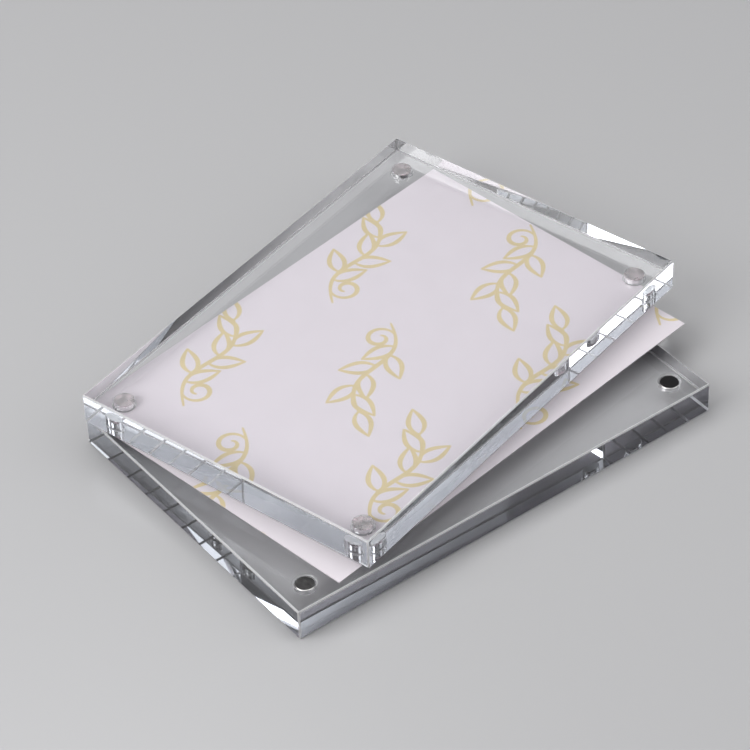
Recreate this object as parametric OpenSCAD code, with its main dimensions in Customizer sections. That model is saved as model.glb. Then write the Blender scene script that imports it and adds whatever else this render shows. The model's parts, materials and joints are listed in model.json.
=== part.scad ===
// Acrylic magnetic photo frame: two thick clear blocks fanned open round one
// corner magnet pair, with a photo card held between them.
// X runs along the long side of the back block, Z up from the face it lies on.

/* [Acrylic blocks] */
// Length of each clear block
block_length = 150; // [120:1:200]
// Width of each clear block
block_width = 105; // [85:1:140]
// Thickness of each clear block
block_thickness = 10.5; // [8:0.5:16]
// Width of the polished bevel along every edge, measured on the faces
edge_bevel = 0.4; // [0.2:0.1:1.5]

/* [Magnets] */
// Diameter of the disc magnets
magnet_diameter = 6; // [4:0.5:8]
// Height of the disc magnets
magnet_height = 3; // [2:0.5:5]
// Radius rolled round both rims of a magnet
magnet_rim_radius = 0.3; // [0.1:0.05:0.5]
// Distance from the block's edges to a magnet's axis
magnet_inset = 8.5; // [7:0.5:12]

/* [Magnet pockets] */
// Gap all round between a magnet and the wall of its pocket
pocket_clearance = 0.15; // [0.1:0.05:0.5]
// How far a magnet's face lies below the inner face of its block
magnet_recess = 0.3; // [0.05:0.05:0.5]
// Thickness of the adhesive under a magnet
glue_thickness = 0.2; // [0.05:0.05:0.3]
// Bevel round the mouth of a pocket
mouth_bevel = 0.4; // [0.1:0.05:0.5]
// Bevel that the cutter leaves round the bottom of a pocket
floor_bevel = 0.15; // [0.05:0.05:0.3]

/* [Photo card] */
// Thickness of the card
card_thickness = 0.25; // [0.15:0.05:0.6]
// How far each end of the card stays inside the block's ends
card_end_margin = 1; // [0.5:0.25:10]
// How far each side of the card stays inside the block's sides
card_side_margin = 1.25; // [0.5:0.25:10]
// How far the card has slipped towards the top edge of the frame
card_slip = 1; // [0:0.25:1.25]
// Air left between the card and each block
card_clearance = 0.05; // [0.02:0.01:0.2]

/* [Fan] */
// Angle that the front block is turned from square with the back block
front_turn = 15; // [0:1:90]
// Angle that the card is turned from square with the back block
card_turn = 8.9; // [0:0.1:90]

/* [Hidden] */
// Names of the sub-parts; corners are named as on the closed frame seen from the front

// Facets of a full circle
$fn = 64;
// Steps of the quarter round on a magnet's rim
rim_steps = 6;

// Corners as signs along X and Y
top_left = [-1, 1];
top_right = [1, 1];
bottom_left = [-1, -1];
bottom_right = [1, -1];
corners = [top_left, top_right, bottom_left, bottom_right];

// Magnets and their pockets
magnet_radius = magnet_diameter / 2;
pocket_radius = magnet_radius + pocket_clearance;
pocket_depth = magnet_recess + magnet_height + glue_thickness;

// Card
card_length = block_length - 2 * card_end_margin;
card_width = block_width - 2 * card_side_margin;

// Heights of the stack, from the table up
card_level = block_thickness + card_clearance;
front_level = card_level + card_thickness + card_clearance;

// The corner magnet pair that the fan turns on
pivot = magnet_place(top_left);

// How far a cutting tool runs past the face that it cuts
overrun = block_thickness;

// Colours
acrylic_colour = [0.86, 0.9, 0.95, 0.3];
nickel_colour = [0.72, 0.72, 0.74];
glue_colour = [0.9, 0.9, 0.88, 0.6];
card_colour = [0.87, 0.85, 0.89];

// Place of a magnet's axis on a block that is square with the axes
function magnet_place(corner) = [
    corner.x * (block_length / 2 - magnet_inset),
    corner.y * (block_width / 2 - magnet_inset),
    0
];

// A centred rectangle with its four corners cut off
module bevelled_rectangle(long_side, short_side, bevel) {
    x = long_side / 2;
    y = short_side / 2;
    polygon([
        [x, y - bevel], [x - bevel, y], [bevel - x, y], [-x, y - bevel],
        [-x, bevel - y], [bevel - x, -y], [x - bevel, -y], [x, bevel - y]
    ]);
}

// A block lying on its broad face, with all twelve edges bevelled
module bevelled_block() {
    run = 2 * overrun;
    intersection() {
        translate([0, 0, -overrun])
            linear_extrude(block_thickness + run)
                bevelled_rectangle(block_length, block_width, edge_bevel);
        translate([0, block_width / 2 + overrun, block_thickness / 2])
            rotate([90, 0, 0])
                linear_extrude(block_width + run)
                    bevelled_rectangle(block_length, block_thickness, edge_bevel);
        translate([-block_length / 2 - overrun, 0, block_thickness / 2])
            rotate([90, 0, 90])
                linear_extrude(block_length + run)
                    bevelled_rectangle(block_width, block_thickness, edge_bevel);
    }
}

// The cutter's path for one blind pocket: its mouth is at height zero and its flat floor above
module pocket_cut() {
    rotate_extrude()
        polygon([
            [0, -overrun],
            [pocket_radius + mouth_bevel + overrun, -overrun],
            [pocket_radius, mouth_bevel],
            [pocket_radius, pocket_depth - floor_bevel],
            [pocket_radius - floor_bevel, pocket_depth],
            [0, pocket_depth]
        ]);
}

// A block with its four magnet pockets in the lower face
module drilled_block() {
    difference() {
        bevelled_block();
        for (corner = corners)
            translate(magnet_place(corner))
                pocket_cut();
    }
}

// A disc magnet with rolled rims, from height zero up
module disc_magnet() {
    inner = magnet_radius - magnet_rim_radius;
    lower_rim = [for (step = [0:rim_steps])
        let (turn = -90 + 90 * step / rim_steps)
        [inner + magnet_rim_radius * cos(turn), magnet_rim_radius * (1 + sin(turn))]];
    upper_rim = [for (step = [0:rim_steps])
        let (turn = 90 * step / rim_steps)
        [inner + magnet_rim_radius * cos(turn),
         magnet_height - magnet_rim_radius * (1 - sin(turn))]];
    rotate_extrude()
        polygon(concat([[0, 0]], lower_rim, upper_rim, [[0, magnet_height]]));
}

// A disc of clear adhesive as wide as the flat end of a magnet, from height zero up
module glue_disc() {
    cylinder(r = magnet_radius - magnet_rim_radius, h = glue_thickness);
}

// Turns its children about the corner magnet pair
module fanned(turn) {
    translate(pivot)
        rotate([0, 0, turn])
            translate(-pivot)
                children();
}

// Lifts its children to the front block's inner face and turns them with it
module in_front() {
    translate([0, 0, front_level])
        fanned(front_turn)
            children();
}

// Turns its children over, so that heights count down from the back block's inner face
module in_back() {
    translate([0, 0, block_thickness])
        mirror([0, 0, 1])
            children();
}

module back_block() {
    color(acrylic_colour)
        in_back()
            drilled_block();
}

module front_block() {
    color(acrylic_colour)
        in_front()
            drilled_block();
}

module back_magnet(corner) {
    color(nickel_colour)
        in_back()
            translate(magnet_place(corner))
                translate([0, 0, magnet_recess])
                    disc_magnet();
}

module front_magnet(corner) {
    color(nickel_colour)
        in_front()
            translate(magnet_place(corner))
                translate([0, 0, magnet_recess])
                    disc_magnet();
}

module back_glue(corner) {
    color(glue_colour)
        in_back()
            translate(magnet_place(corner))
                translate([0, 0, magnet_recess + magnet_height])
                    glue_disc();
}

module front_glue(corner) {
    color(glue_colour)
        in_front()
            translate(magnet_place(corner))
                translate([0, 0, magnet_recess + magnet_height])
                    glue_disc();
}

// The card turns about the same corner, after it has slipped towards the top edge
module photo_card() {
    color(card_colour)
        translate([0, 0, card_level])
            fanned(card_turn)
                translate([0, card_slip, 0])
                    linear_extrude(card_thickness)
                        square([card_length, card_width], center = true);
}

back_block();
front_block();
photo_card();
back_magnet(top_left);  // back_magnet_top_left
back_magnet(top_right);  // back_magnet_top_right
back_magnet(bottom_left);  // back_magnet_bottom_left
back_magnet(bottom_right);  // back_magnet_bottom_right
back_glue(top_left);  // back_glue_top_left
back_glue(top_right);  // back_glue_top_right
back_glue(bottom_left);  // back_glue_bottom_left
back_glue(bottom_right);  // back_glue_bottom_right
front_magnet(top_left);  // front_magnet_top_left
front_magnet(top_right);  // front_magnet_top_right
front_magnet(bottom_left);  // front_magnet_bottom_left
front_magnet(bottom_right);  // front_magnet_bottom_right
front_glue(top_left);  // front_glue_top_left
front_glue(top_right);  // front_glue_top_right
front_glue(bottom_left);  // front_glue_bottom_left
front_glue(bottom_right);  // front_glue_bottom_right
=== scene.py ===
import itertools
import json
import math

import bmesh
import bpy
from mathutils import Matrix, Vector, noise
from mathutils.geometry import delaunay_2d_cdt


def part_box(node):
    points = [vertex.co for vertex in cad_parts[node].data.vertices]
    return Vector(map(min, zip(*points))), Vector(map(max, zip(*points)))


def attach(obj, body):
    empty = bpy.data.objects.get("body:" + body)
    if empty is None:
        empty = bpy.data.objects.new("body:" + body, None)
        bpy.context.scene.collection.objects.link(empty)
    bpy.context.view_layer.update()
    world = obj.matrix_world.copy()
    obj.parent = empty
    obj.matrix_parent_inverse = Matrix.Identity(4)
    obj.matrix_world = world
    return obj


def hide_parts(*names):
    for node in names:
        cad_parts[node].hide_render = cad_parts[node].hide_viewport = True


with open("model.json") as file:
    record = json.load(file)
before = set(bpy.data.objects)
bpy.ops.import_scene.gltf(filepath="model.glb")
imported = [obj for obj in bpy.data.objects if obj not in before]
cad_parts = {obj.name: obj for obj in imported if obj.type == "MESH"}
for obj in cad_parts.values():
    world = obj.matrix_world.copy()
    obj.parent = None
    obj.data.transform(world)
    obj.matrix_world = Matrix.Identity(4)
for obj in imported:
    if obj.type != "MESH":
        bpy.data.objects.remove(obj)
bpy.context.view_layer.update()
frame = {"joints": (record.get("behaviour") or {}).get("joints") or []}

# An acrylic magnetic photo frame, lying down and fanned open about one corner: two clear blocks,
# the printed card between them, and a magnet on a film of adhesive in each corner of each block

MM = 0.001

# Sizes that the frame doesn't give, as in the solids
EDGE_BEVEL = 0.4 * MM
POCKET_CLEARANCE = 0.15 * MM
MOUTH_BEVEL = 0.4 * MM
FLOOR_BEVEL = 0.15 * MM
MAGNET_RIM = 0.3 * MM
CARD_END_MARGIN = 1 * MM
CARD_SIDE_MARGIN = 1.25 * MM
CARD_SLIP = 1 * MM

# Corners as signs along X and Y, named as on the closed frame seen from the front
CORNERS = {
    "top_left": (-1, 1),
    "top_right": (1, 1),
    "bottom_left": (-1, -1),
    "bottom_right": (1, -1),
}


# Places and sizes read from the frame

def joint(name):
    return next(j for j in frame["joints"] if j["name"] == name)


def box_size(node):
    low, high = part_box(node)
    return high - low


block_length, block_width, block_thickness = box_size("back_block")
magnet_radius = box_size("back_magnet_top_left").x / 2
magnet_height = box_size("back_magnet_top_left").z
glue_thickness = box_size("back_glue_top_left").z
card_thickness = box_size("photo_card").z
card_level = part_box("photo_card")[0].z
front_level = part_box("front_block")[0].z
magnet_recess = block_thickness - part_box("back_magnet_top_left")[1].z
pocket_radius = magnet_radius + POCKET_CLEARANCE
pocket_depth = magnet_recess + magnet_height + glue_thickness
card_length = block_length - 2 * CARD_END_MARGIN
card_width = block_width - 2 * CARD_SIDE_MARGIN
pivot = Vector((*joint("front_swivel")["pos_m"][:2], 0))
magnet_inset = block_length / 2 + pivot.x

# A hinge's lower limit squares its piece with the back block, which gives its turn at rest
front_turn = -math.radians(joint("front_swivel")["range_deg"][0])
card_turn = -math.radians(joint("card_swing")["range_deg"][0])


def magnet_place(corner):
    """Where a magnet's axis stands on a block that is square with the axes."""
    across, up = CORNERS[corner]
    return Vector((
        across * (block_length / 2 - magnet_inset),
        up * (block_width / 2 - magnet_inset),
        0,
    ))


def fanned(turn):
    """Turns about the corner magnet pair."""
    return Matrix.Translation(pivot) @ Matrix.Rotation(turn, 4, "Z") @ Matrix.Translation(-pivot)


# Heights count up from a block's inner face and from the card's back, and one of these puts a
# piece in its place
in_front = Matrix.Translation((0, 0, front_level)) @ fanned(front_turn)
in_back = Matrix.Translation((0, 0, block_thickness)) @ Matrix.Scale(-1, 4, (0, 0, 1))
on_card = Matrix.Translation((0, 0, card_level)) @ fanned(card_turn)


# Camera: the photograph's view, found from the corners of the blocks and of the card

CAMERA_AZIMUTH = math.radians(-35.67)
CAMERA_ELEVATION = math.radians(41.22)
CAMERA_ROLL = math.radians(-2.46)
CAMERA_DISTANCE = 1.0854
CAMERA_TARGET = Vector((0.0084, 0.0228, 0))
# Focal length and sensor width in millimetres
CAMERA_LENS = 174
SENSOR_WIDTH = 36


def make_camera():
    back = Vector((
        math.sin(CAMERA_AZIMUTH) * math.cos(CAMERA_ELEVATION),
        -math.cos(CAMERA_AZIMUTH) * math.cos(CAMERA_ELEVATION),
        math.sin(CAMERA_ELEVATION),
    ))
    right = Vector((0, 0, 1)).cross(back).normalized()
    level = Matrix((right, back.cross(right), back)).transposed()
    data = bpy.data.cameras.new("camera")
    data.lens = CAMERA_LENS
    data.sensor_width = SENSOR_WIDTH
    camera = bpy.data.objects.new("camera", data)
    rolled = level @ Matrix.Rotation(CAMERA_ROLL, 3, "Z")
    camera.matrix_world = Matrix.LocRotScale(
        CAMERA_TARGET + CAMERA_DISTANCE * back, rolled, None
    )
    bpy.context.scene.collection.objects.link(camera)
    bpy.context.scene.camera = camera


# Materials: helpers

# Nearly all of a noise texture's values lie between these
NOISE_LOW = 0.3
NOISE_HIGH = 0.7

# Sockets of a Mix node that mixes colours, by number, because others have the same names
MIX_SHARE = 0
MIX_LOW = 6
MIX_HIGH = 7
MIX_RESULT = 2


def new_material(name):
    material = bpy.data.materials.new(name)
    material.use_nodes = True
    tree = material.node_tree
    tree.nodes.clear()
    output = tree.nodes.new("ShaderNodeOutputMaterial")
    return material, tree, output


def add(tree, kind, inputs=None, **settings):
    """Adds a node, sets its settings, and fills or links its inputs, given by name or number."""
    made = tree.nodes.new("ShaderNode" + kind)
    for name, value in settings.items():
        setattr(made, name, value)
    for name, value in (inputs or {}).items():
        socket = made.inputs[name]
        if isinstance(value, bpy.types.NodeSocket):
            tree.links.new(value, socket)
        else:
            socket.default_value = value
    return made


def object_place(tree):
    return add(tree, "TexCoord").outputs["Object"]


def noise_range(tree, place, waves, low, high, detail=4):
    """Noise of that many waves per metre, mapped to the range low to high."""
    texture = add(tree, "TexNoise", {"Vector": place, "Scale": waves, "Detail": detail})
    return add(tree, "MapRange", {
        "Value": texture.outputs["Fac"],
        "From Min": NOISE_LOW,
        "From Max": NOISE_HIGH,
        "To Min": low,
        "To Max": high,
    }).outputs["Result"]


def mixed(tree, share, low, high):
    """A colour that goes from low to high as share goes from 0 to 1."""
    return add(tree, "Mix", {
        MIX_SHARE: share,
        MIX_LOW: low,
        MIX_HIGH: high,
    }, data_type="RGBA").outputs[MIX_RESULT]


def bump(tree, height, distance, strength=1):
    """A normal bent by relief, where a height of 1 stands for that distance."""
    return add(tree, "Bump", {
        "Height": height,
        "Distance": distance,
        "Strength": strength,
    }).outputs["Normal"]


# Acrylic

ACRYLIC_IOR = 1.49

# Colour of what is seen through a face and through an edge
FACE_TINT = (0.98, 0.985, 1, 1)
EDGE_TINT = (0.86, 0.905, 0.985, 1)

# Share of lamplight and scattered light that a face and an edge let straight through
FACE_SHADE = (0.995, 0.995, 0.995, 1)
EDGE_SHADE = (0.2, 0.2, 0.21, 1)

# Patches of more and less haze per metre
HAZE_WAVES = 90

# Holds each point of a pocket's floor as its offset from the pocket's axis
POCKET_MAP = "from_pocket_axis"

# Rings per unit of length in a wave texture of scale 1, and the pitch of the cutter's rings
RINGS_PER_UNIT = 10 / math.pi
TOOL_PITCH = 0.4 * MM


def ripples(waves):
    """Relief of that many soft waves per metre."""
    return lambda tree: noise_range(tree, object_place(tree), waves, low=0, high=1, detail=2)


def tool_marks(pitch):
    """Rings that a cutter leaves round a pocket's axis, at that pitch."""
    return lambda tree: add(tree, "TexWave", {
        "Vector": add(tree, "UVMap", uv_map=POCKET_MAP).outputs["UV"],
        "Scale": 1 / RINGS_PER_UNIT / pitch,
        "Distortion": 0.6,
        "Detail": 2,
    }, wave_type="RINGS", rings_direction="Z").outputs["Fac"]


def acrylic(name, tint, shade, clearness, haze, relief, depth):
    """Clear acrylic. Lamps and scattered light pass it unbent, so that what lies under it is lit,
    but they are weaker behind the edges, which turn most of that light aside."""
    material, tree, output = new_material(name)
    clear = add(tree, "BsdfPrincipled", {
        "Base Color": tint,
        "IOR": ACRYLIC_IOR,
        "Transmission Weight": clearness,
        "Roughness": noise_range(tree, object_place(tree), HAZE_WAVES, *haze),
        "Normal": bump(tree, relief(tree), depth),
    })
    path = add(tree, "LightPath")
    passing = add(tree, "Math", {
        0: path.outputs["Is Shadow Ray"],
        1: path.outputs["Is Diffuse Ray"],
    }, operation="MAXIMUM")
    straight = add(tree, "BsdfTransparent", {"Color": shade})
    surface = add(tree, "MixShader", {
        0: passing.outputs["Value"],
        1: clear.outputs["BSDF"],
        2: straight.outputs["BSDF"],
    })
    tree.links.new(surface.outputs["Shader"], output.inputs["Surface"])
    return material


def slab_finishes():
    """A block's finishes, in the order of their indices: polished faces and edges, and duller
    bevels and pockets."""
    return [
        acrylic(
            "acrylic_face", FACE_TINT, FACE_SHADE,
            clearness=1, haze=(0, 0.012), relief=ripples(14), depth=0.0005 * MM,
        ),
        acrylic(
            "acrylic_edge", EDGE_TINT, EDGE_SHADE,
            clearness=1, haze=(0.004, 0.02), relief=ripples(60), depth=0.002 * MM,
        ),
        acrylic(
            "acrylic_bevel", FACE_TINT, EDGE_SHADE,
            clearness=0.5, haze=(0.38, 0.5), relief=ripples(900), depth=0.0005 * MM,
        ),
        acrylic(
            "acrylic_pocket_mouth", FACE_TINT, EDGE_SHADE,
            clearness=0.7, haze=(0.22, 0.32), relief=ripples(900), depth=0.0005 * MM,
        ),
        acrylic(
            "acrylic_pocket_wall", FACE_TINT, FACE_SHADE,
            clearness=0.85, haze=(0.03, 0.1), relief=ripples(900), depth=0.002 * MM,
        ),
        acrylic(
            "acrylic_pocket_floor", FACE_TINT, FACE_SHADE,
            clearness=0.75, haze=(0.2, 0.35), relief=tool_marks(TOOL_PITCH), depth=0.008 * MM,
        ),
    ]


# Magnets, adhesive and paper

NICKEL_COLOUR = (0.7, 0.69, 0.68, 1)
GLUE_IOR = 1.48
GLUE_DARK = (0.42, 0.355, 0.365, 1)
GLUE_PALE = (1, 0.87, 0.91, 1)
PAPER_COLOUR = (0.855, 0.8, 0.85)
INK_COLOUR = (0.79, 0.67, 0.42)


def nickel():
    """Bright nickel plate, dulled a little where magnets rub on each other."""
    material, tree, output = new_material("nickel_plate")
    place = object_place(tree)
    grain = noise_range(tree, place, waves=2500, low=0, high=1)
    plate = add(tree, "BsdfPrincipled", {
        "Base Color": NICKEL_COLOUR,
        "Metallic": 1,
        "Roughness": noise_range(tree, place, waves=700, low=0.07, high=0.13),
        "Normal": bump(tree, grain, distance=0.0006 * MM),
    })
    tree.links.new(plate.outputs["BSDF"], output.inputs["Surface"])
    return material


def adhesive():
    """Set adhesive: dark where it wets the magnet, and cloudy with fine bubbles elsewhere."""
    material, tree, output = new_material("adhesive")
    place = object_place(tree)
    bubbles = add(tree, "TexVoronoi", {"Vector": place, "Scale": 2600})
    cloud = noise_range(tree, place, waves=420, low=-0.8, high=1.8, detail=2)
    film = add(tree, "BsdfPrincipled", {
        "Base Color": mixed(tree, cloud, GLUE_DARK, GLUE_PALE),
        "IOR": GLUE_IOR,
        "Transmission Weight": 0.8,
        "Roughness": noise_range(tree, place, waves=1200, low=0.1, high=0.4),
        "Normal": bump(tree, bubbles.outputs["Distance"], distance=0.01 * MM, strength=0.5),
    })
    tree.links.new(film.outputs["BSDF"], output.inputs["Surface"])
    return material


def paper(name, colour, darkest, brightest):
    """Coated photo paper: a fine pebbled sheen over faint fibres, which make it that much darker
    and brighter than its colour."""
    material, tree, output = new_material(name)
    place = object_place(tree)
    fibres = noise_range(tree, place, waves=160, low=0, high=1, detail=8)
    grain = noise_range(tree, place, waves=4200, low=0, high=1)
    low = tuple(darkest * part for part in colour) + (1,)
    high = tuple(brightest * part for part in colour) + (1,)
    sheet = add(tree, "BsdfPrincipled", {
        "Base Color": mixed(tree, fibres, low, high),
        "Roughness": noise_range(tree, place, waves=700, low=0.42, high=0.58),
        "Specular IOR Level": 0.4,
        "Normal": bump(tree, grain, distance=0.006 * MM, strength=0.5),
    })
    tree.links.new(sheet.outputs["BSDF"], output.inputs["Surface"])
    return material


# Meshes: helpers

# Points round a full circle, and steps of the quarter round on a magnet's rim
ROUND_STEPS = 96
RIM_STEPS = 6

# Faces that meet at more than this angle have a hard edge between them
HARD_ANGLE = math.radians(30)


def finish_piece(name, bm, materials, body, node):
    """Makes the mesh an object that rides on its body and stands for its CAD node."""
    mesh = bpy.data.meshes.new(name)
    bm.to_mesh(mesh)
    bm.free()
    for material in materials:
        mesh.materials.append(material)
    piece = bpy.data.objects.new(name, mesh)
    bpy.context.scene.collection.objects.link(piece)
    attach(piece, body)
    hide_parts(node)


def ring(bm, centre, radius, height):
    """A level circle of points."""
    return [
        bm.verts.new((
            centre.x + radius * math.cos(2 * math.pi * step / ROUND_STEPS),
            centre.y + radius * math.sin(2 * math.pi * step / ROUND_STEPS),
            height,
        ))
        for step in range(ROUND_STEPS)
    ]


def join_rings(bm, lower, upper, index):
    """Joins two rings by a band of smooth faces with that material index."""
    for step in range(ROUND_STEPS):
        after = (step + 1) % ROUND_STEPS
        face = bm.faces.new((lower[step], lower[after], upper[after], upper[step]))
        face.material_index = index
        face.smooth = True


def revolved(bm, centre, profile, index=0):
    """Turns a profile of radii and heights about an upright axis. Returns its rings."""
    rings = [ring(bm, centre, *point) for point in profile]
    for lower, upper in zip(rings, rings[1:]):
        join_rings(bm, lower, upper, index)
    return rings


def quarter_round(radius, height, size, start):
    """Points of a quarter circle about (radius, height), from the start angle in degrees."""
    turns = [math.radians(start + 90 * step / RIM_STEPS) for step in range(RIM_STEPS + 1)]
    return [
        (radius + size * math.cos(turn), height + size * math.sin(turn))
        for turn in turns
    ]


def set_in_place(bm, place):
    """Turns the normals outwards, marks the hard edges and moves the mesh."""
    bmesh.ops.recalc_face_normals(bm, faces=bm.faces)
    for edge in bm.edges:
        edge.smooth = len(edge.link_faces) == 2 and edge.calc_face_angle() < HARD_ANGLE
    bm.transform(place)
    if place.determinant() < 0:
        bmesh.ops.reverse_faces(bm, faces=bm.faces)


# Blocks

# Material indices of a block
FACE, EDGE, BEVEL, MOUTH, WALL, FLOOR = range(6)

# Width of the rounding between a bevel and its faces
EASED = 0.1 * MM

# A corner's points, as shares of the bevel taken off along X, Y and Z: one on each of the three
# faces, and the one where the three bevels meet
CORNER_CUTS = ((0, 1, 1), (1, 0, 1), (1, 1, 0), (0.5, 0.5, 0.5))

# Faces that differ by less than this angle are one flat face
SAME_PLANE = math.radians(1)

# A face lies square to an axis if its normal's part along that axis is more than this
SQUARE = 0.999


def bevelled_hull(bm):
    """The outside of a block: six faces and twelve bevels with eased edges."""
    half = Vector((block_length / 2, block_width / 2, block_thickness / 2))
    for signs in itertools.product((-1, 1), repeat=3):
        for cut in CORNER_CUTS:
            corner = half - EDGE_BEVEL * Vector(cut)
            bm.verts.new(Vector(signs) * corner + Vector((0, 0, half.z)))
    hull = bmesh.ops.convex_hull(bm, input=bm.verts)
    bmesh.ops.delete(bm, geom=list(set(hull["geom_interior"])), context="VERTS")
    bmesh.ops.dissolve_limit(bm, angle_limit=SAME_PLANE, verts=bm.verts, edges=bm.edges)
    bmesh.ops.bevel(
        bm, geom=list(bm.edges), offset=EASED, segments=2, profile=0.5, affect="EDGES"
    )
    for face in bm.faces:
        flat = max(abs(part) for part in face.normal) > SQUARE
        face.smooth = not flat
        if not flat:
            face.material_index = BEVEL
        elif abs(face.normal.z) > SQUARE:
            face.material_index = FACE
        else:
            face.material_index = EDGE


def block_piece(name, node, body, place, materials):
    """A block with its outside bevelled and four blind pockets in its inner face."""
    bm = bmesh.new()
    from_axis = bm.loops.layers.uv.new(POCKET_MAP)
    bevelled_hull(bm)
    inner = min(bm.faces, key=lambda face: face.calc_center_median().z)
    rims = list(inner.edges)
    bm.faces.remove(inner)
    profile = (
        (pocket_radius + MOUTH_BEVEL, 0),
        (pocket_radius, MOUTH_BEVEL),
        (pocket_radius, pocket_depth - FLOOR_BEVEL),
        (pocket_radius - FLOOR_BEVEL, pocket_depth),
    )
    for corner in CORNERS:
        rings = revolved(bm, magnet_place(corner), profile, WALL)
        for vertex in rings[0]:
            for face in vertex.link_faces:
                face.material_index = MOUTH
        floor = bm.faces.new(rings[-1])
        floor.material_index = FLOOR
        for loop in floor.loops:
            loop[from_axis].uv = (loop.vert.co - magnet_place(corner)).xy
        rims += [
            bm.edges.get((rings[0][step], rings[0][step - 1]))
            for step in range(ROUND_STEPS)
        ]
    filled = bmesh.ops.triangle_fill(bm, use_beauty=True, edges=rims, normal=(0, 0, -1))
    for face in filled["geom"]:
        if isinstance(face, bmesh.types.BMFace):
            face.material_index = FACE
    set_in_place(bm, place)
    finish_piece(name, bm, materials, body, node)


# Magnets and their adhesive

# How far the adhesive reaches along a pocket's wall, and the air between it and its neighbours
GLUE_REACH = 0.9 * MM
GLUE_GAP = 0.02 * MM

# Its reach varies by at most this share, by noise that is read along a circle of this radius
GLUE_UNEVEN = 0.5
GLUE_NOISE_RADIUS = 1.5


def magnet_piece(name, node, body, corner, place, material):
    """A disc magnet with rolled rims."""
    bm = bmesh.new()
    flat = magnet_radius - MAGNET_RIM
    top = magnet_recess + magnet_height
    profile = (
        quarter_round(flat, magnet_recess + MAGNET_RIM, MAGNET_RIM, -90)
        + quarter_round(flat, top - MAGNET_RIM, MAGNET_RIM, 0)
    )
    rings = revolved(bm, magnet_place(corner), profile)
    bm.faces.new(rings[0])
    bm.faces.new(rings[-1])
    set_in_place(bm, place)
    finish_piece(name, bm, [material], body, node)


def glue_piece(name, node, body, corner, place, material, seed):
    """A film between a magnet and its pocket, squeezed a little way down the gap round it."""
    bm = bmesh.new()
    top = pocket_depth - GLUE_GAP
    under = magnet_recess + magnet_height + GLUE_GAP
    outer = pocket_radius - GLUE_GAP
    inner = magnet_radius + GLUE_GAP
    profile = (
        (outer - FLOOR_BEVEL, top),
        (outer, top - FLOOR_BEVEL),
        (outer, top - GLUE_REACH),
        (inner, top - GLUE_REACH),
        (inner, under),
        (inner - POCKET_CLEARANCE, under),
    )
    rings = revolved(bm, magnet_place(corner), profile)
    outer_lip = rings[2]
    inner_lip = rings[3]
    for step in range(ROUND_STEPS):
        turn = 2 * math.pi * step / ROUND_STEPS
        where = Vector((
            GLUE_NOISE_RADIUS * math.cos(turn),
            GLUE_NOISE_RADIUS * math.sin(turn),
            seed,
        ))
        drop = GLUE_REACH * GLUE_UNEVEN * noise.noise(where)
        outer_lip[step].co.z += drop
        inner_lip[step].co.z += drop
    bm.faces.new(rings[0])
    bm.faces.new(rings[-1])
    set_in_place(bm, place)
    finish_piece(name, bm, [material], body, node)


# The card's print: leafy sprigs drawn with a pen line

# Lengths here are in millimetres on the card, angles are in degrees, and places along a stem are
# shares of its length

LINE_WIDTH = 1.5
# The pen's width at both ends of a line, as a share of the line's width
PEN_TIP = 0.45
CAP_STEPS = 4

SPRIG_LENGTH = 40
# How far a stem swings to each side, as a share of its length
STEM_SWING = 0.09
STEM_STEPS = 24

LEAF_LENGTH = 11
LEAF_WIDTH = 4.6
LEAF_STEPS = 10
# Below 1 a leaf is widest nearer its foot
LEAF_FULLNESS = 0.8

LEAF_PAIRS = 3
FIRST_PAIR = 0.3
PAIR_SPACING = 0.24
# How far the leaves of a pair stand before and behind its place
PAIR_STAGGER = 0.05
# Angle between a leaf of the first pair and the stem, and how much less it is at each next pair
LEAF_SPREAD = 48
SPREAD_LOSS = 8

# The tendril: its place on the stem, its first radius, its turns, and the share of the radius
# that it loses on its way
CURL_FOOT = 0.12
CURL_SIZE = 4.8
CURL_TURNS = 1.15
CURL_TIGHTENING = 0.72
CURL_STEPS = 26

# Rows and columns of sprigs, counted from the card's middle. Rows lean one way and the other by
# turns, and odd ones stand half a column further on
ROWS = range(-1, 2)
COLUMNS = range(-2, 3)
ROW_PITCH = 38
COLUMN_PITCH = 62
COLUMN_SHIFT = -6
EVEN_LEAN = -150
ODD_LEAN = 24

# The cut keeps only what lies within a shape, and joins points that are nearer than this
WITHIN_SHAPES = 1
JOIN_DISTANCE = 1e-5

# Material indices of the card
PAPER, INK = range(2)


def turned(point, turn, shift=(0, 0)):
    """A point turned about the origin, then shifted."""
    cosine = math.cos(turn)
    sine = math.sin(turn)
    return (
        shift[0] + cosine * point[0] - sine * point[1],
        shift[1] + sine * point[0] + cosine * point[1],
    )


def stem_point(share):
    """A gentle S from the sprig's foot to its tip."""
    return (
        SPRIG_LENGTH * (share - 0.5),
        STEM_SWING * SPRIG_LENGTH * math.sin(2 * math.pi * share),
    )


def stem_turn(share):
    """The stem's direction there."""
    return math.atan2(STEM_SWING * 2 * math.pi * math.cos(2 * math.pi * share), 1)


def leaf_line(side):
    """One side of a leaf's outline, from its foot to its tip."""
    return [
        (
            LEAF_LENGTH * step / LEAF_STEPS,
            side * LEAF_WIDTH / 2 * math.sin(math.pi * (step / LEAF_STEPS) ** LEAF_FULLNESS),
        )
        for step in range(LEAF_STEPS + 1)
    ]


def leaf(foot, turn):
    return [[turned(point, turn, foot) for point in leaf_line(side)] for side in (-1, 1)]


def curl_line():
    """A tendril that winds in as it goes."""
    points = []
    for step in range(CURL_STEPS + 1):
        share = step / CURL_STEPS
        radius = CURL_SIZE * (1 - CURL_TIGHTENING * share)
        angle = 2 * math.pi * CURL_TURNS * share - math.pi / 2
        points.append((radius * math.cos(angle), CURL_SIZE + radius * math.sin(angle)))
    return points


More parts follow.
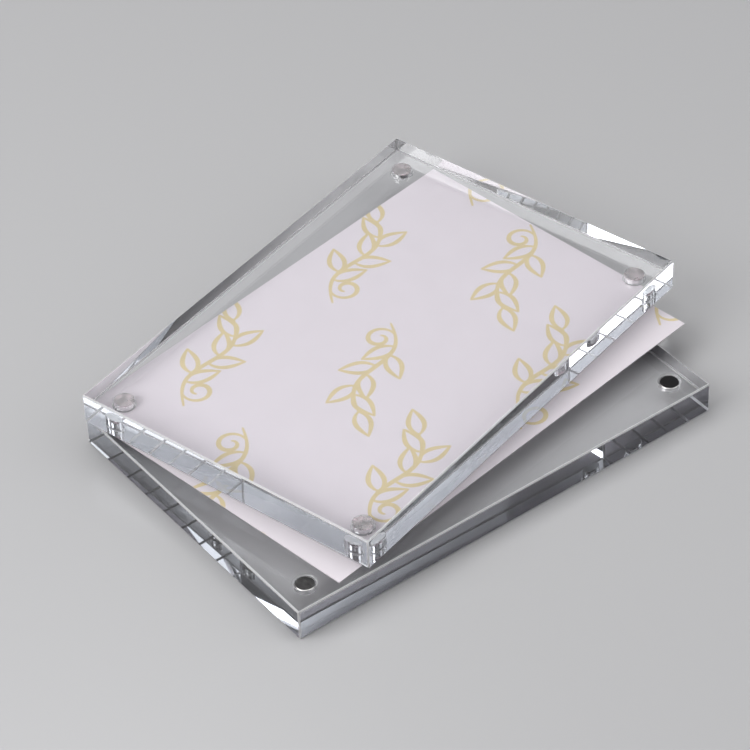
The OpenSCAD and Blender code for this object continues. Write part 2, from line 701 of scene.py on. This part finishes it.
def sprig_lines():
    """The pen lines of one sprig."""
    lines = [[stem_point(step / STEM_STEPS) for step in range(STEM_STEPS + 1)]]
    for pair in range(LEAF_PAIRS):
        share = FIRST_PAIR + PAIR_SPACING * pair
        for side in (-1, 1):
            spot = share + PAIR_STAGGER * side
            spread = math.radians(LEAF_SPREAD - SPREAD_LOSS * pair)
            lines += leaf(stem_point(spot), stem_turn(spot) + side * spread)
    lines += leaf(stem_point(1), stem_turn(1))
    backwards = stem_turn(0) + math.pi
    lines.append([turned(point, backwards, stem_point(CURL_FOOT)) for point in curl_line()])
    return lines


def sprig_places():
    """The sprigs' places across and up the card, and their leans."""
    places = []
    for row in ROWS:
        odd = row % 2
        lean = math.radians(ODD_LEAN if odd else EVEN_LEAN)
        stagger = COLUMN_PITCH / 2 if odd else 0
        for column in COLUMNS:
            across = column * COLUMN_PITCH + stagger + COLUMN_SHIFT
            places.append((across, row * ROW_PITCH, lean))
    return places


def round_cap(centre, turn, radius):
    """Points round a line's end, between its two sides."""
    angles = [
        turn - math.pi / 2 + math.pi * step / CAP_STEPS for step in range(1, CAP_STEPS)
    ]
    return [
        (centre[0] + radius * math.cos(angle), centre[1] + radius * math.sin(angle))
        for angle in angles
    ]


def pen_stroke(line):
    """A pen line as one closed shape with round ends, thickest where the pen presses midway."""
    turns = [
        math.atan2(y1 - y0, x1 - x0) for (x0, y0), (x1, y1) in zip(line, line[1:])
    ]
    sides = {1: [], -1: []}
    for index, (x, y) in enumerate(line):
        before = turns[max(index - 1, 0)]
        after = turns[min(index, len(turns) - 1)]
        bend = math.remainder(after - before, 2 * math.pi)
        turn = before + bend / 2
        press = PEN_TIP + (1 - PEN_TIP) * math.sin(math.pi * index / (len(line) - 1))
        reach = press * LINE_WIDTH / 2 / math.cos(bend / 2)
        for side, points in sides.items():
            points.append((x - side * reach * math.sin(turn), y + side * reach * math.cos(turn)))
    tip = PEN_TIP * LINE_WIDTH / 2
    end_cap = round_cap(line[-1], turns[-1], tip)
    start_cap = round_cap(line[0], turns[0] + math.pi, tip)
    return sides[-1] + end_cap + sides[1][::-1] + start_cap


def printed_face():
    """The card's face cut along the print: its points, and each triangle with whether it is
    inked."""
    x = card_length / MM / 2
    y = card_width / MM / 2
    outline = [(-x, -y), (x, -y), (x, y), (-x, y)]
    shapes = [outline]
    for across, up, lean in sprig_places():
        for line in sprig_lines():
            shapes.append(pen_stroke([turned(point, lean, (across, up)) for point in line]))
    points = []
    faces = []
    for shape in shapes:
        faces.append(list(range(len(points), len(points) + len(shape))))
        points += [Vector(point) for point in shape]
    cut = delaunay_2d_cdt(points, [], faces, WITHIN_SHAPES, JOIN_DISTANCE)
    cut_points, _, triangles, _, _, owners = cut
    # The outline is shape 0, and a triangle on the card that has another owner too is inked
    kept = [
        (corners, len(shapes_here) > 1)
        for corners, shapes_here in zip(triangles, owners)
        if 0 in shapes_here
    ]
    return cut_points, kept


def card_piece(materials):
    """The card: its printed face, its plain back and its cut edges."""
    bm = bmesh.new()
    points, triangles = printed_face()
    used = {i for corners, _ in triangles for i in corners}
    top = {
        i: bm.verts.new((points[i].x * MM, points[i].y * MM, card_thickness)) for i in used
    }
    for corners, inked in triangles:
        face = bm.faces.new([top[i] for i in corners])
        face.material_index = INK if inked else PAPER
    outline = [edge for edge in bm.edges if len(edge.link_faces) == 1]
    sides = bmesh.ops.extrude_edge_only(bm, edges=outline)["geom"]
    for part in sides:
        if isinstance(part, bmesh.types.BMVert):
            part.co.z = 0
        elif isinstance(part, bmesh.types.BMFace):
            part.material_index = PAPER
    lower = [part for part in sides if isinstance(part, bmesh.types.BMEdge)]
    bottom = [edge for edge in lower if all(vertex.co.z == 0 for vertex in edge.verts)]
    bmesh.ops.contextual_create(bm, geom=bottom, mat_nr=PAPER)
    bmesh.ops.recalc_face_normals(bm, faces=bm.faces)
    bm.transform(on_card @ Matrix.Translation((0, CARD_SLIP, 0)))
    finish_piece("printed_card", bm, materials, "card", "photo_card")


# Stage and light

FLOOR_SIZE = 8
# How far the floor lies under the face that the frame rests on
FLOOR_GAP = 0.02 * MM
FLOOR_COLOUR = (0.57, 0.57, 0.58, 1)

# Share of a lamp's size over which it fades towards its edges
LAMP_FADE = 0.2
# A lamp's places run from 0 to 1 across it and along it
LAMP_CENTRE = (0.5, 0.5, 0)
LAMP_HALF = 0.5

HORIZON_COLOUR = (0.5, 0.5, 0.51, 1)
UPPER_COLOUR = (0.03, 0.03, 0.032, 1)
# The studio has its upper colour from this sine of the elevation up
UPPER_HEIGHT = 0.4

MOST_BOUNCES = 48
MOST_BOUNCES_OF_A_KIND = 40


def make_floor():
    material, tree, output = new_material("floor")
    top = add(tree, "BsdfPrincipled", {
        "Base Color": FLOOR_COLOUR,
        "Roughness": noise_range(tree, object_place(tree), waves=12, low=0.18, high=0.22),
        "Specular IOR Level": 0.5,
    })
    tree.links.new(top.outputs["BSDF"], output.inputs["Surface"])
    bm = bmesh.new()
    bmesh.ops.create_grid(bm, x_segments=1, y_segments=1, size=FLOOR_SIZE / 2)
    mesh = bpy.data.meshes.new("floor")
    bm.to_mesh(mesh)
    bm.free()
    mesh.materials.append(material)
    floor = bpy.data.objects.new("floor", mesh)
    floor.location.z = -FLOOR_GAP
    bpy.context.scene.collection.objects.link(floor)


def fade_to_edges(data):
    """Dims a square lamp smoothly towards its edges."""
    data.use_nodes = True
    tree = data.node_tree
    tree.nodes.clear()
    place = add(tree, "NewGeometry").outputs["Parametric"]
    offset = add(tree, "VectorMath", {0: place, 1: LAMP_CENTRE}, operation="SUBTRACT")
    reach = add(tree, "VectorMath", {0: offset.outputs["Vector"]}, operation="ABSOLUTE")
    sides = add(tree, "SeparateXYZ", {"Vector": reach.outputs["Vector"]})
    fades = [
        add(tree, "MapRange", {
            "Value": sides.outputs[axis],
            "From Min": LAMP_HALF,
            "From Max": LAMP_HALF - LAMP_FADE,
        }, interpolation_type="SMOOTHSTEP").outputs["Result"]
        for axis in "XY"
    ]
    share = add(tree, "Math", {0: fades[0], 1: fades[1]}, operation="MULTIPLY")
    glow = add(tree, "Emission", {"Strength": share.outputs["Value"]})
    output = add(tree, "OutputLight", {"Surface": glow.outputs["Emission"]})
    output.is_active_output = True


def softbox(name, azimuth, elevation, distance, size, radiance):
    """A square lamp that faces the frame. Azimuth turns from +X towards +Y."""
    away = Vector((
        math.cos(math.radians(azimuth)) * math.cos(math.radians(elevation)),
        math.sin(math.radians(azimuth)) * math.cos(math.radians(elevation)),
        math.sin(math.radians(elevation)),
    ))
    data = bpy.data.lights.new(name, "AREA")
    data.shape = "SQUARE"
    data.size = size / (1 - LAMP_FADE)
    data.energy = radiance * math.pi * data.size ** 2
    fade_to_edges(data)
    lamp = bpy.data.objects.new(name, data)
    lamp.location = distance * away
    lamp.rotation_euler = away.to_track_quat("Z", "Y").to_euler()
    bpy.context.scene.collection.objects.link(lamp)


def light_studio():
    """Three soft lamps, which with the world light a level white face to about 1."""
    softbox("overhead", azimuth=100, elevation=78, distance=1.3, size=1.2, radiance=2.07)
    softbox("left", azimuth=170, elevation=41, distance=1.15, size=0.72, radiance=4.6)
    softbox("front_right", azimuth=-45, elevation=41, distance=1.3, size=1.2, radiance=1.15)


def make_world():
    """A dim studio round the lamps, paler at the horizon than higher up."""
    world = bpy.data.worlds.new("studio")
    bpy.context.scene.world = world
    world.use_nodes = True
    tree = world.node_tree
    tree.nodes.clear()
    output = tree.nodes.new("ShaderNodeOutputWorld")
    direction = add(tree, "SeparateXYZ", {"Vector": add(tree, "TexCoord").outputs["Generated"]})
    share = add(tree, "MapRange", {"Value": direction.outputs["Z"], "From Max": UPPER_HEIGHT})
    shade = mixed(tree, share.outputs["Result"], HORIZON_COLOUR, UPPER_COLOUR)
    sky = add(tree, "Background", {"Color": shade, "Strength": 1})
    tree.links.new(sky.outputs["Background"], output.inputs["Surface"])


def set_bounces():
    """Light bounces many times along a block's inside before it leaves by a side."""
    cycles = bpy.context.scene.cycles
    cycles.max_bounces = MOST_BOUNCES
    cycles.glossy_bounces = MOST_BOUNCES_OF_A_KIND
    cycles.transmission_bounces = MOST_BOUNCES_OF_A_KIND
    cycles.transparent_max_bounces = MOST_BOUNCES_OF_A_KIND


def build_frame():
    finishes = slab_finishes()
    block_piece("back_slab", "back_block", "back", in_back, finishes)
    block_piece("front_slab", "front_block", "front", in_front, finishes)

    film = adhesive()
    plate = nickel()
    for seed, corner in enumerate(CORNERS):
        # The front block's magnet at the pivot is on a body of its own, which the block turns on
        front_body = "corner_magnet" if corner == "top_left" else "front"
        for side, body, place in (
            ("back", "back", in_back),
            ("front", front_body, in_front),
        ):
            glue_piece(
                f"{side}_film_{corner}", f"{side}_glue_{corner}", body, corner, place, film, seed
            )
            magnet_piece(
                f"{side}_disc_{corner}", f"{side}_magnet_{corner}", body, corner, place, plate
            )

    card_piece([
        paper("card_paper", PAPER_COLOUR, darkest=0.985, brightest=1.015),
        paper("card_ink", INK_COLOUR, darkest=0.96, brightest=1.04),
    ])


bpy.context.scene.view_settings.view_transform = "Standard"
make_camera()
make_floor()
make_world()
set_bounces()
light_studio()
build_frame()
